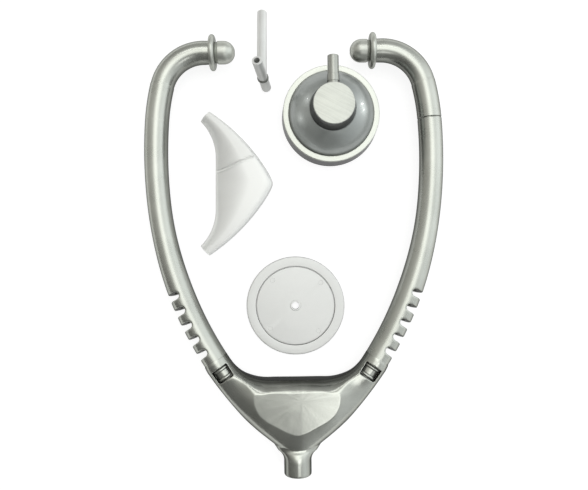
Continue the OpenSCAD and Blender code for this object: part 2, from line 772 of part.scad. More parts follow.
// Tee with its branch along Y before it leans: two legs along Z, a thicker root of the branch
// and a collar below it
module tee_connector() {
    color([0.86, 0.86, 0.87])
        translate([tee_x, tee_y, tee_z])
            rotate([-tee_lean_deg, 0, 0])
                rotate([0, -tee_roll_deg, 0])
                    difference() {
                        union() {
                            translate([0, 0, -tee_leg])
                                cylinder(r = tee_r, h = 2 * tee_leg);
                            rotate([-90, 0, 0])
                                cylinder(r = tee_r, h = tee_branch);
                            rotate([-90, 0, 0])
                                cylinder(r = tee_root_r, h = tee_root_len);
                            translate([0, 0, lap - tee_r - tee_collar_len])
                                cylinder(r = tee_collar_r, h = tee_collar_len);
                        }
                        translate([0, 0, -tee_leg - 1])
                            cylinder(r = tee_bore_r, h = 2 * tee_leg + 2);
                        rotate([-90, 0, 0])
                            cylinder(r = tee_bore_r, h = tee_branch + 1);
                        translate([0, 0, tee_leg - 0.5])
                            cylinder(r1 = tee_bore_r, r2 = tee_bore_r + 0.6, h = 0.6);
                    }
}

yoke_body();
left_flex_neck();
right_flex_neck();
left_arm_tube();
right_arm_tube();
left_ear_tube();
right_ear_tube();
left_ear_collar();
right_ear_collar();
left_ear_tip();
right_ear_tip();
bell_dome();
bell_rim();
bell_stem();
diaphragm_disc();
yoke_back_cover();
tee_connector();
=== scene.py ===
"""Looks of the toy stethoscope set: silver mouldings on a white floor, seen from straight above."""
import math

import bmesh
import bpy
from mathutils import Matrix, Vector


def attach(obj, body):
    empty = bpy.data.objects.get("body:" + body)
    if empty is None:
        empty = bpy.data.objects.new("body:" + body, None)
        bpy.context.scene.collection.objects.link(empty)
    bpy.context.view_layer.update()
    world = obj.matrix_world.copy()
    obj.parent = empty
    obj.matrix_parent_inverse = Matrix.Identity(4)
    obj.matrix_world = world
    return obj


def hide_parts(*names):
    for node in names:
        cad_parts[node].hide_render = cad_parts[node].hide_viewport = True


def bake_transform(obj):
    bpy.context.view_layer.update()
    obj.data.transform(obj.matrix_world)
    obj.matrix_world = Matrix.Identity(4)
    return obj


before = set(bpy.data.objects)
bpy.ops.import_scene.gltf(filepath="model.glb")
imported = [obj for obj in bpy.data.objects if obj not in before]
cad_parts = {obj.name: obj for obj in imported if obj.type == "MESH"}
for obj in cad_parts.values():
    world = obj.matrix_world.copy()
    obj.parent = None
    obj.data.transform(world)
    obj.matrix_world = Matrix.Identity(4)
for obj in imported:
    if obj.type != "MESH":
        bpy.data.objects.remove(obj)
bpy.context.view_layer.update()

# Sizes in millimetres: most are the part's own, and a few are matched to the photo

MM = 0.001
ARM_Z = 9.0
HALF_SPAN = 70.1
WIDEST_Y = 164.2
UPPER_R = 240.0
LOWER_R = 184.0
JOIN_DEG = 5.5
BORE_R = 3.0
ARM_R = 5.97
ARM_TOP_R = 6.05
ARM_TAPER_RUN_DEG = 10.0
ARM_ROOT_TUCK = 0.6
ARM_VOXEL = 0.36
ARM_PASSES = 8
NECK_SWELL = 0.5
NECK_SWELL_FROM_DEG = 8.0
NECK_SWELL_RUN_DEG = 14.0
NECK_RUN = 3.2
NECK_LEN = 42.1
SLOT_START = 4.0
SLOT_PITCH = 7.95
SLOT_COUNT = 5
SLOT_W = 3.7
SLOT_DEPTH = 6.2
SLOT_TILT_DEG = 10.5
FLANGE_R = 5.1
FLANGE_L = 1.9
FLANGE_OFFSET = 2.3
FLANGE_CROWN = 0.6
PLUG_R = 4.4
PLUG_TAIL = 3.0
PLUG_GAP = 0.25
SEAT_MARGIN = 0.3
SEAT_HEIGHTS = (-1.0, 0.6)
EAR_SEAM_DEG = 4.27
EAR_TUBE_R = 5.9
EAR_ARC_R = 110.0
EAR_BEND_R = 22.0
EAR_AXIS_Y = 216.9
EAR_STRAIGHT = 3.1
EAR_SEAM_W = 0.3
EAR_ROOT_SWELL = 0.12
EAR_END_TAPER = 0.03
EAR_TUCK = 3.0
EAR_TUCK_R = 5.75
COLLAR_R = 9.0
COLLAR_T = 2.8
TIP_NECK_R = 4.9
TIP_NECK_LEN = 1.1
TIP_R = 5.75
TIP_BARREL = 3.2
TIP_HOLE_R = 1.6
TIP_EDGE_R = 0.6
TIP_PLUG_LEN = 3.5
TIP_PLUG_GAP = 0.1
YOKE_DEPTH = 42.8
YOKE_FILLET_R = 24.0
YOKE_IN = 6.5
YOKE_OUT_SEAM = 6.8
YOKE_OUT = 7.1
YOKE_TUCK = 1.1
YOKE_SLOPE = 0.75
YOKE_NOSE = 5.0
YOKE_HALF_SEAM = 6.6
YOKE_HALF_MID = 10.0
YOKE_VOXEL = 0.34
YOKE_PASSES = 2
LIP_RINGS = 4
LIP_START = 2.8
LIP_END = 0.7
LIP_START_R = 6.2
LIP_END_R = 6.52
CREST = 0.5
CREST_SHIFT = 0.18
SHOULDER_SHIFT = 0.27
ROUND = 2
SQUARE_IN = 0.5
SQUARE_LOW = 6
SHIELD_H = 8.6
YOKE_WALL = 3.0
CAVITY_DEPTH = 13.2
WINDOW_RUN = 6.6
WINDOW_W = 8.8
WINDOW_L = 6.9
WINDOW_FLOOR = 3.4
WINDOW_TOP = 20
CUT_REACH = 60
OUTLET_R = 7.0
OUTLET_BORE_R = 4.3
OUTLET_BORE_LEN = 23.5
OUTLET_LEN = 9.0
OUTLET_REACH = 6.9
OUTLET_FLARE_R = 6.0
OUTLET_FLARE_DROP = 1.2
OUTLET_EDGE_R = 0.8
STUB_SHORTER = 1.5
FLARE_DEG = 60
FLARE_STEPS = 12
FLARE_TAIL = 6
FLARE_INSET = 0.01
FLARE_WIDEN = 0.65
FLARE_SINK = 0.12
BELL_X = 19.3
BELL_BELOW_EARS = 32.3
BELL_BASE_R = 25.2
RIM_R = 24.5
RIM_IN_R = 21.6
RIM_Z = 12.0
RIM_T = 2.0
BELL_WALL = 1.8
DOME_R = 18.1
DOME_INSET = 7.4
DOME_SINK = 4.9
HUB_BASE_R = 11.6
HUB_R = 9.9
HUB_Z = 33.5
HUB_FACE_T = 0.3
AXIS_R = 0.01
STEM_Z = 28.5
BOSS_R = 2.95
BOSS_REACH = 14.6
STEM_R = 2.65
STEM_REACH = 23.7
STEM_BORE_R = 1.5
DISC_X = -0.1
DISC_CLEAR = 11.3
DISC_R = 25.6
DISC_T = 2.4
DISC_SUNK_R = 20.7
DISC_HOLE_R = 1.9
DISC_RING_R = 2.6
DISC_SINK = 0.3
GROOVE_W = 0.45
GROOVE_DEPTH = 1.1
MARK_DEGS = (41.5, 131.5, 221.5, 311.5)
MARK_RING_R = 17.8
MARK_LOW_R = 1.15
MARK_HIGH_R = 1.25
COVER_X = -41.2
COVER_BELOW_EARS = 65.9
COVER_TURN_DEG = 89.2
COVER_REACH = 30.0
COVER_NOSE_R = 3.0
COVER_ARC_R = 104.0
COVER_HORN_DEG = 45.3
COVER_HORN_W = 7.0
COVER_H_HORN = 4.6
COVER_H_MID = 7.0
COVER_WALL = 1.4
COVER_GAP = 0.3
COVER_SLOPE = 0.62
COVER_CREST = 0.62
COVER_IN_POWER = 1.7
COVER_OUT_POWER = 7
STEP_NEAR = 6.6
STEP_FAR = 14.6
STEP_RUN = 24
STEP_GROOVE = 0.40
STEP_GROOVE_W = 0.35
STEP_LIP = 0.30
STEP_LIP_W = 0.4
STEP_LIP_BACK = 0.9
WING_FALL = 0.035
TEE_X = -15.5
TEE_BELOW_EARS = 12.6
TEE_R = 2.5
TEE_BORE_R = 1.5
TEE_LEG = 12.5
TEE_LEAN_DEG = 16.1
TEE_ROLL_DEG = 8.0
TEE_COLLAR_R = 2.9
TEE_COLLAR_LEN = 1.4
TEE_COLLAR_LIFT = 0.4


def polar(centre, radius, deg):
    angle = math.radians(deg)
    return (centre[0] + radius * math.cos(angle), centre[1] + radius * math.sin(angle))


def signed_pow(value, exponent):
    return math.copysign(abs(value) ** exponent, value)


def turned(u, v, angle):
    """A pair of coordinates turned about the third axis."""
    return (u * math.cos(angle) - v * math.sin(angle), u * math.sin(angle) + v * math.cos(angle))


def ease(t):
    t = min(1.0, max(0.0, t))
    return t * t * (3 - 2 * t)


def lerp(a, b, t):
    return a + (b - a) * t


# Places that follow from the sizes, in the headset's plane above the hose outlet

UPPER_C = (HALF_SPAN - UPPER_R, WIDEST_Y)
LOWER_C = polar(UPPER_C, UPPER_R - LOWER_R, -JOIN_DEG)
EAR_C = polar(UPPER_C, UPPER_R - EAR_ARC_R, EAR_SEAM_DEG)
EAR_BEND_DEG = math.degrees(math.asin((EAR_AXIS_Y - EAR_BEND_R - EAR_C[1]) / (EAR_ARC_R - EAR_BEND_R)))
BEND_C = polar(EAR_C, EAR_ARC_R - EAR_BEND_R, EAR_BEND_DEG)
EAR_END_X = BEND_C[0] - EAR_STRAIGHT
DEG_PER_MM = math.degrees(1 / LOWER_R)

YOKE_LOW_Y = LOWER_C[1] - math.sqrt((LOWER_R + YOKE_OUT - YOKE_TUCK) ** 2 - LOWER_C[0] ** 2)
OUTLET_Y = YOKE_LOW_Y - OUTLET_REACH
YOKE_TOP_Y = YOKE_LOW_Y + YOKE_DEPTH
INNER_R = LOWER_R - YOKE_IN
FILLET_Y = YOKE_TOP_Y + YOKE_FILLET_R
FILLET_X = LOWER_C[0] + math.sqrt((INNER_R - YOKE_FILLET_R) ** 2 - (FILLET_Y - LOWER_C[1]) ** 2)
FILLET_C = (FILLET_X, FILLET_Y)
FILLET_DEG = math.degrees(math.asin((LOWER_C[1] - FILLET_Y) / (INNER_R - YOKE_FILLET_R)))
NECK_END_DEG = FILLET_DEG - NECK_RUN * DEG_PER_MM
NECK_TOP_DEG = NECK_END_DEG - NECK_LEN * DEG_PER_MM
SLOT_FIRST_DEG = NECK_TOP_DEG + SLOT_START * DEG_PER_MM
WINDOW_DEG = NECK_END_DEG + WINDOW_RUN * DEG_PER_MM

TEE_LEAN = math.radians(TEE_LEAN_DEG)
TEE_ROLL = math.radians(TEE_ROLL_DEG)
TEE_UP = math.cos(TEE_LEAN) * math.cos(TEE_ROLL)
TEE_Z = TEE_LEG * TEE_UP + TEE_R * math.sqrt(1 - TEE_UP ** 2)
TEE_BRANCH = (TEE_Z - TEE_R * math.cos(TEE_LEAN)) / math.sin(TEE_LEAN)
TEE_END_Y = EAR_AXIS_Y - TEE_BELOW_EARS + TEE_BRANCH * math.cos(TEE_LEAN) + TEE_R * math.sin(TEE_LEAN)

# The frame's middle lies halfway between the outlet's end and the end of the tee's branch
HEADSET_Y = -(OUTLET_Y + TEE_END_Y) / 2
TEE_Y = HEADSET_Y + EAR_AXIS_Y - TEE_BELOW_EARS
BELL_Y = HEADSET_Y + EAR_AXIS_Y - BELL_BELOW_EARS
COVER_Y = HEADSET_Y + EAR_AXIS_Y - COVER_BELOW_EARS
DISC_Y = HEADSET_Y + YOKE_TOP_Y + DISC_CLEAR + DISC_R


# Mesh helpers

def new_object(name, verts, faces):
    """A mesh object from millimetre points in the set's frame."""
    mesh = bpy.data.meshes.new(name)
    mesh.from_pydata([(x * MM, y * MM, z * MM) for x, y, z in verts], [], faces)
    mesh.update()
    obj = bpy.data.objects.new(name, mesh)
    bpy.context.scene.collection.objects.link(obj)
    return obj


def skin(rings, closed=False):
    """Faces between rings of equal length; an open row gets end faces."""
    count = len(rings)
    m = len(rings[0])
    verts = [p for ring in rings for p in ring]
    faces = []
    for i in range(count if closed else count - 1):
        k = (i + 1) % count
        for j in range(m):
            j2 = (j + 1) % m
            faces.append((i * m + j, i * m + j2, k * m + j2, k * m + j))
    if not closed:
        faces.append(tuple(range(m - 1, -1, -1)))
        faces.append(tuple((count - 1) * m + j for j in range(m)))
    return verts, faces


def outward(obj):
    """Turns the faces outward where the rings ran the other way round."""
    shape = bmesh.new()
    shape.from_mesh(obj.data)
    if shape.calc_volume(signed=True) < 0:
        bmesh.ops.reverse_faces(shape, faces=shape.faces)
        shape.to_mesh(obj.data)
    shape.free()
    return obj


def solid(name, rings, closed=False):
    return outward(new_object(name, *skin(rings, closed)))


def lathe(name, profile, sides, place):
    """A closed profile of (radius, height) turned about an axis; place maps each point to the frame."""
    rings = []
    for i in range(sides):
        a = 2 * math.pi * i / sides
        rings.append([place(r * math.cos(a), r * math.sin(a), h) for r, h in profile])
    return solid(name, rings, closed=True)


def arc_profile(centre, radius, start, end, steps):
    return [polar(centre, radius, lerp(start, end, i / steps)) for i in range(steps + 1)]


def rounded_profile(corners, steps=5):
    """Rounds each corner (r, h, radius) of a closed profile with an arc of that size."""
    out = []
    count = len(corners)
    for i in range(count):
        r, h, size = corners[i]
        p = Vector((r, h))
        a = Vector(corners[i - 1][:2]) - p
        b = Vector(corners[(i + 1) % count][:2]) - p
        if size <= 0 or a.length < 1e-6 or b.length < 1e-6:
            out.append((r, h))
            continue
        size = min(size, a.length * 0.45, b.length * 0.45)
        start = p + a.normalized() * size
        end = p + b.normalized() * size
        for k in range(steps + 1):
            t = k / steps
            q = start * (1 - t) ** 2 + p * 2 * t * (1 - t) + end * t ** 2
            out.append((q.x, q.y))
    return out


def in_frame(x, y, z):
    """A point of the headset's plane, brought into the set's frame."""
    return (x, y + HEADSET_Y, ARM_Z + z)


def ellipse(y, half_w, half_h, sides):
    """A ring across the headset's middle line."""
    ring = []
    for j in range(sides):
        a = 2 * math.pi * j / sides
        ring.append(in_frame(half_w * math.cos(a), y, half_h * math.sin(a)))
    return ring


def tube_rings(path, sides, side):
    """Rings round a path of (x, y, normal x, normal y, radius) in the arm plane; side -1 mirrors."""
    rings = []
    for x, y, nx, ny, r in path:
        ring = []
        for j in range(sides):
            a = 2 * math.pi * j / sides
            w = r * math.cos(a)
            ring.append(in_frame(side * (x + nx * w), y + ny * w, r * math.sin(a)))
        rings.append(ring)
    return rings


def arc_path(centre, sweep_r, start, end, steps, radius):
    """Path along an arc, from angle to angle; radius is a number or a function of the angle."""
    path = []
    for i in range(steps + 1):
        deg = lerp(start, end, i / steps)
        x, y = polar(centre, sweep_r, deg)
        nx, ny = polar((0, 0), 1, deg)
        path.append((x, y, nx, ny, radius(deg) if callable(radius) else radius))
    return path


def on_lower_curve(deg, points, side):
    """Points (out, up the arm, z) at an angle of the lower curve, brought into the frame."""
    a = math.radians(-deg)
    out = []
    for x, y, z in points:
        px = LOWER_C[0] + (LOWER_R + x) * math.cos(a) - y * math.sin(a)
        py = LOWER_C[1] + (LOWER_R + x) * math.sin(a) + y * math.cos(a)
        out.append(in_frame(side * px, py, z))
    return out


def mirrored(rings):
    """Rings of one half, then the same rings mirrored, with the shared middle ring once."""
    other = [[(-x, y, z) for x, y, z in ring] for ring in rings[-2::-1]]
    return rings + other


def block(name, low, high):
    (x0, y0, z0), (x1, y1, z1) = low, high
    return solid(name, [[(x0, y0, z0), (x1, y0, z0), (x1, y1, z0), (x0, y1, z0)],
                        [(x0, y0, z1), (x1, y0, z1), (x1, y1, z1), (x0, y1, z1)]])


def prism(name, outline, z0, z1):
    return solid(name, [[(x, y, z0) for x, y in outline], [(x, y, z1) for x, y in outline]])


def apply_modifiers(obj):
    bpy.context.view_layer.update()
    graph = bpy.context.evaluated_depsgraph_get()
    mesh = bpy.data.meshes.new_from_object(obj.evaluated_get(graph))
    obj.modifiers.clear()
    old = obj.data
    obj.data = mesh
    bpy.data.meshes.remove(old)
    return obj


def combine(obj, others, operation):
    """Adds or cuts the other solids, which are used up."""
    for other in others:
        mod = obj.modifiers.new("combine", "BOOLEAN")
        mod.operation = operation
        mod.solver = "EXACT"
        mod.object = other
        apply_modifiers(obj)
        bpy.data.objects.remove(other)
    return obj


def soften(obj, voxel, passes):
    """Gives a moulding its small edge rounding: even remesh, then smoothing."""
    mod = obj.modifiers.new("remesh", "REMESH")
    mod.mode = "VOXEL"
    mod.voxel_size = voxel * MM
    apply_modifiers(obj)
    mod = obj.modifiers.new("smooth", "SMOOTH")
    mod.factor = 0.5
    mod.iterations = passes
    apply_modifiers(obj)
    return obj


def dress(obj, material, body=None, nodes=(), angle=None):
    """Smooth shading, material, body and the nodes that the piece stands for."""
    obj.data.polygons.foreach_set("use_smooth", [True] * len(obj.data.polygons))
    if angle is not None:
        obj.data.set_sharp_from_angle(angle=math.radians(angle))
    obj.data.materials.clear()
    obj.data.materials.append(material)
    if body:
        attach(obj, body)
    if nodes:
        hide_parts(*nodes)
    return obj


# Materials

def node(tree, kind, **inputs):
    made = tree.nodes.new(kind)
    for key, value in inputs.items():
        made.inputs[key.replace("_", " ")].default_value = value
    return made


def ranged(tree, value, low, high, to_low, to_high):
    """A value mapped from one range to another with soft ends."""
    made = node(tree, "ShaderNodeMapRange", From_Min=low, From_Max=high, To_Min=to_low, To_Max=to_high)
    made.interpolation_type = "SMOOTHSTEP"
    tree.links.new(value, made.inputs["Value"])
    return made.outputs["Result"]


def sums(tree, operation, *values):
    """A Math node on sockets and numbers."""
    made = tree.nodes.new("ShaderNodeMath")
    made.operation = operation
    for slot, value in zip(made.inputs, values):
        if isinstance(value, bpy.types.NodeSocket):
            tree.links.new(value, slot)
        else:
            slot.default_value = value
    return made.outputs["Value"]


def blended(tree, mode, factor, a, b):
    """Two colours mixed by a mode; the second may be a socket of one number."""
    made = tree.nodes.new("ShaderNodeMix")
    made.data_type = "RGBA"
    made.blend_type = mode
    made.inputs["Factor"].default_value = factor
    tree.links.new(a, made.inputs["A"])
    tree.links.new(b, made.inputs["B"])
    return made.outputs["Result"]


def flow_tone(tree, coords, gate):
    """Streaks of the melt that fan out from the gate, as a tone round 1."""
    parts = tree.nodes.new("ShaderNodeSeparateXYZ")
    tree.links.new(coords, parts.inputs["Vector"])
    dx = sums(tree, "SUBTRACT", parts.outputs["X"], gate[0] * MM)
    dy = sums(tree, "SUBTRACT", gate[1] * MM, parts.outputs["Y"])
    turn = sums(tree, "ARCTAN2", dx, dy)
    streaks = node(tree, "ShaderNodeTexNoise", Scale=2.2, Detail=2.0, Roughness=0.6)
    streaks.noise_dimensions = "1D"
    tree.links.new(turn, streaks.inputs["W"])
    return ranged(tree, streaks.outputs["Fac"], 0.35, 0.65, 0.93, 1.03)


def scratch_tone(tree, coords):
    """Fine rubbed lines, all one way, as a tone round 1."""
    stretched = node(tree, "ShaderNodeMapping", Rotation=(0, 0, math.radians(-28)),
                     Scale=(0.016, 0.0006, 0.01))
    stretched.vector_type = "TEXTURE"
    tree.links.new(coords, stretched.inputs["Vector"])
    lines = node(tree, "ShaderNodeTexNoise", Scale=1.0, Detail=2.0, Roughness=0.5)
    tree.links.new(stretched.outputs["Vector"], lines.inputs["Vector"])
    return ranged(tree, lines.outputs["Fac"], 0.32, 0.6, 0.93, 1.03)


def silver(name, dark, light, metallic, roughness, side=0.5, low=0.05, full=0.95, coat=0.0, edge=0.35,
           tint=(0.97, 1.0, 0.91), gate=None, scratched=False):
    """Silver-grey moulded plastic: tone clouds from the melt, fine metal flake, and painted shade that
    darkens faces as they turn from up to sideways.
    """
    mat = bpy.data.materials.new(name)
    mat.use_nodes = True
    tree = mat.node_tree
    shader = tree.nodes["Principled BSDF"]
    coords = tree.nodes.new("ShaderNodeTexCoord").outputs["Object"]
    clouds = node(tree, "ShaderNodeTexNoise", Scale=60.0, Detail=4.0, Roughness=0.55, Distortion=0.8)
    flakes = node(tree, "ShaderNodeTexVoronoi", Scale=2600.0)
    grain = node(tree, "ShaderNodeTexNoise", Scale=900.0, Detail=3.0)
    for texture in (clouds, flakes, grain):
        tree.links.new(coords, texture.inputs["Vector"])
    ramp = tree.nodes.new("ShaderNodeValToRGB")
    ramp.color_ramp.elements[0].position = 0.3
    ramp.color_ramp.elements[0].color = tuple(dark * t for t in tint) + (1,)
    ramp.color_ramp.elements[1].position = 0.7
    ramp.color_ramp.elements[1].color = tuple(light * t for t in tint) + (1,)
    tree.links.new(clouds.outputs["Fac"], ramp.inputs["Fac"])
    speck = node(tree, "ShaderNodeHueSaturation", Saturation=0.15)
    tree.links.new(flakes.outputs["Color"], speck.inputs["Color"])
    colour = blended(tree, "OVERLAY", 0.03, ramp.outputs["Color"], speck.outputs["Color"])
    # Painted shade: the colour falls to the factor side where the normal's upward part drops from full
    # to low.
    facing = tree.nodes.new("ShaderNodeSeparateXYZ")
    tree.links.new(tree.nodes.new("ShaderNodeNewGeometry").outputs["Normal"], facing.inputs["Vector"])
    painted_side_shade = ranged(tree, facing.outputs["Z"], low, full, side, 1.0)
    colour = blended(tree, "MULTIPLY", 1.0, colour, painted_side_shade)
    if gate:
        colour = blended(tree, "MULTIPLY", 1.0, colour, flow_tone(tree, coords, gate))
    if scratched:
        colour = blended(tree, "MULTIPLY", 1.0, colour, scratch_tone(tree, coords))
    tree.links.new(colour, shader.inputs["Base Color"])
    rough = ranged(tree, clouds.outputs["Fac"], 0.0, 1.0, roughness * 0.85, roughness * 1.15)
    tree.links.new(rough, shader.inputs["Roughness"])
    shader.inputs["Metallic"].default_value = metallic
    shader.inputs["Coat Weight"].default_value = coat
    shader.inputs["Coat Roughness"].default_value = 0.04
    shader.inputs["Specular Tint"].default_value = (edge, edge, edge, 1)
    relief = node(tree, "ShaderNodeBump", Strength=0.05, Distance=0.0002)
    tree.links.new(grain.outputs["Fac"], relief.inputs["Height"])
    tree.links.new(relief.outputs["Normal"], shader.inputs["Normal"])
    return mat


GATE = (2.5, HEADSET_Y + YOKE_TOP_Y - 9.0)

NEUTRAL = (0.99, 1.0, 0.97)

# The side, low and full of each material set how strongly its sideways faces carry painted shade.
SILVER = silver("silver_plastic", dark=0.54, light=0.63, metallic=0.85, roughness=0.28,
                side=0.3, low=0.12, edge=0.25)
YOKE_SILVER = silver("yoke_plastic", dark=0.54, light=0.63, metallic=0.85, roughness=0.22,
                     side=0.18, low=0.3, edge=0.15, gate=GATE)
TIP = silver("tip_plastic", dark=0.58, light=0.67, metallic=0.75, roughness=0.36, side=0.7)
DARK = silver("bell_plastic", dark=0.37, light=0.44, metallic=0.50, roughness=0.36,
              side=0.05, low=0.18, full=0.45, coat=0.4, edge=0.1, tint=(0.94, 1.0, 0.96))
# A lighter copy of the bell's plastic for the hub's top face: painted highlight, with fine scratches.
SCRATCHED_HUB_HIGHLIGHT = silver("hub_scratched_painted_highlight", dark=0.51, light=0.59, metallic=0.70, roughness=0.30,
             side=0.2, scratched=True)
BRIGHT = silver("rim_plastic", dark=0.72, light=0.79, metallic=0.60, roughness=0.32, side=0.4)
STEM = silver("stem_plastic", dark=0.45, light=0.52, metallic=0.70, roughness=0.30, side=0.3)
PALE = silver("disc_plastic", dark=0.83, light=0.88, metallic=0.30, roughness=0.40,
              side=0.15, tint=NEUTRAL)
COVER = silver("cover_plastic", dark=0.96, light=1.0, metallic=0.28, roughness=0.36,
               side=0.6, full=0.75, tint=NEUTRAL)
# A darker copy of the cover's plastic for the wing beyond the step: painted shade of the wing that
# tilts away.
COVER_WING_SHADE = silver("cover_wing_painted_shade", dark=0.88, light=0.96, metallic=0.30, roughness=0.38,
              side=0.7, full=0.85, tint=NEUTRAL)
TEE = silver("tee_plastic", dark=0.82, light=0.89, metallic=0.30, roughness=0.34,
             side=0.7, full=0.8, tint=NEUTRAL)
# A near-black copy for the tee's collar ring: painted shade at the leg's joint.
TEE_COLLAR_SHADE = silver("tee_collar_painted_shade", dark=0.24, light=0.30, metallic=0.50, roughness=0.35, side=0.5)


# Headset

def yoke_inner_edge(part):
    """The yoke's inner edge, along the corner's arc and then flat to the middle."""
    arc_len = YOKE_FILLET_R * math.radians(90 - FILLET_DEG)
    run = part * (arc_len + FILLET_X)
    if run < arc_len:
        return polar(FILLET_C, YOKE_FILLET_R, -FILLET_DEG - math.degrees(run / YOKE_FILLET_R))
    return (FILLET_X - (run - arc_len), FILLET_Y - YOKE_FILLET_R)


def yoke_outer_edge(part):
    """The yoke's outer edge, rounded where its two halves meet."""
    r = LOWER_R + YOKE_OUT - YOKE_TUCK * ease((part - 0.4) / 0.4)
    end_deg = math.degrees(math.acos(-LOWER_C[0] / r))
    x, y = polar(LOWER_C, r, -lerp(FILLET_DEG, end_deg, part))
    x = max(0.0, x)
    return (x, y + YOKE_SLOPE * (math.hypot(x, YOKE_NOSE) - x))


def yoke_ring(a, b, half, crest, square_in, square_low, sides):
    """One section of the yoke between its inner edge a and its outer edge b."""
    ring = []
    for i in range(sides):
        t = 2 * math.pi * i / sides
        inner = math.cos(t) < 0
        power = square_low if math.sin(t) < -0.001 else (square_in if inner else ROUND)
        s = crest + signed_pow(math.cos(t), 2 / power) * (crest if inner else 1 - crest)
        z = half * signed_pow(math.sin(t), 2 / power)
        ring.append(in_frame(lerp(a[0], b[0], s), lerp(a[1], b[1], s), z))
    return ring


def yoke_rings(neck_steps, body_steps, sides):
    """Sections from the thin lip over the arm's root, along neck and body, to the other side."""
    rings = []
    for i in range(LIP_RINGS):
        part = i / (LIP_RINGS - 1)
        deg = NECK_END_DEG - lerp(LIP_START, LIP_END, part) * DEG_PER_MM
        r = lerp(LIP_START_R, LIP_END_R, part)
        rings.append(yoke_ring(polar(LOWER_C, LOWER_R - r, -deg), polar(LOWER_C, LOWER_R + r, -deg),
                               r, CREST, ROUND, ROUND, sides))
    for i in range(neck_steps):
        part = i / neck_steps
        deg = lerp(NECK_END_DEG, FILLET_DEG, part)
        out = lerp(YOKE_OUT_SEAM, YOKE_OUT, part)
        rings.append(yoke_ring(polar(LOWER_C, INNER_R, -deg), polar(LOWER_C, LOWER_R + out, -deg),
                               YOKE_HALF_SEAM, CREST, ROUND, ROUND, sides))
    for i in range(body_steps + 1):
        part = i / body_steps
        swell = ease((part - 0.1) / 0.7)
        rise = ease((part - 0.2) / 0.5)
        shoulder = ease(part / 0.25) * (1 - ease((part - 0.3) / 0.3))
        half = lerp(YOKE_HALF_SEAM, YOKE_HALF_MID, rise)
        crest = CREST - CREST_SHIFT * swell - SHOULDER_SHIFT * shoulder
        square_in = ROUND + SQUARE_IN * ease(2 * part - 1)
        square_low = ROUND + SQUARE_LOW * rise
        rings.append(yoke_ring(yoke_inner_edge(part), yoke_outer_edge(part), half, crest,
                               square_in, square_low, sides))
    return mirrored(rings)


# Edges of the back cover, in the place where it closes the yoke

COVER_IN_R = YOKE_FILLET_R + YOKE_WALL
COVER_CORNER = polar(FILLET_C, COVER_IN_R + COVER_HORN_W, -COVER_HORN_DEG)
COVER_NOSE = COVER_NOSE_R * COVER_SLOPE
COVER_TIP = (0, YOKE_TOP_Y - YOKE_WALL - COVER_REACH - COVER_SLOPE * COVER_NOSE)
CHORD = (COVER_TIP[0] - COVER_CORNER[0], COVER_TIP[1] - COVER_CORNER[1])
CHORD_LEN = math.hypot(*CHORD)
CHORD_DROP = math.sqrt(COVER_ARC_R ** 2 - (CHORD_LEN / 2) ** 2) / CHORD_LEN
COVER_C = ((COVER_TIP[0] + COVER_CORNER[0]) / 2 + CHORD[1] * CHORD_DROP,
           (COVER_TIP[1] + COVER_CORNER[1]) / 2 - CHORD[0] * CHORD_DROP)
COVER_FROM_DEG = math.degrees(math.atan2(COVER_CORNER[1] - COVER_C[1], COVER_CORNER[0] - COVER_C[0]))


def cover_inner(part, gap):
    r = COVER_IN_R - gap
    from_deg = COVER_HORN_DEG - math.degrees(gap / r)
    arc_len = r * math.radians(90 - from_deg)
    run = part * (arc_len + FILLET_X)
    if run < arc_len:
        return polar(FILLET_C, r, -from_deg - math.degrees(run / r))
    return (FILLET_X - (run - arc_len), FILLET_Y - r)


def cover_outer(part, gap):
    r = COVER_ARC_R + gap
    from_deg = COVER_FROM_DEG + math.degrees(gap / r)
    to_deg = -math.degrees(math.acos(-COVER_C[0] / r))
    x, y = polar(COVER_C, r, lerp(from_deg, to_deg, part))
    return (max(0.0, x), y + COVER_SLOPE * (math.hypot(x, COVER_NOSE) - x))


def cover_outline(gap, steps):
    half = [cover_inner(i / steps, gap) for i in range(steps, -1, -1)]
    half += [cover_outer(i / steps, gap) for i in range(steps + 1)]
    left = [(-x, y) for x, y in half[-2:0:-1]]
    return [(x, y + HEADSET_Y) for x, y in half + left]


def window_corners(margin):
    """Corners (out, up the arm) of the window over the plug, grown by a margin."""
    wide = WINDOW_W / 2 + margin
    tall = WINDOW_L / 2 + margin
    return [(-wide, -tall), (wide, -tall), (wide, tall), (-wide, tall)]


def outlet_flare():
    """The flare that leads from the outlet into the yoke; its last rings lie inside the yoke."""
    rings = []
    for i in range(FLARE_STEPS + 1):
        t = math.radians(FLARE_DEG * i / FLARE_STEPS)
        y = OUTLET_Y + OUTLET_LEN + OUTLET_FLARE_R * math.sin(t)
        half_w = OUTLET_R - FLARE_INSET + OUTLET_FLARE_R * (1 - math.cos(t))
        half_h = OUTLET_R - FLARE_INSET - OUTLET_FLARE_DROP * (i / FLARE_STEPS) ** 2
        rings.append(ellipse(y, half_w, half_h, 64))
    for i in range(1, FLARE_TAIL + 1):
        rings.append(ellipse(y + i, half_w + FLARE_WIDEN * i, half_h - FLARE_SINK * i, 64))
    return rings


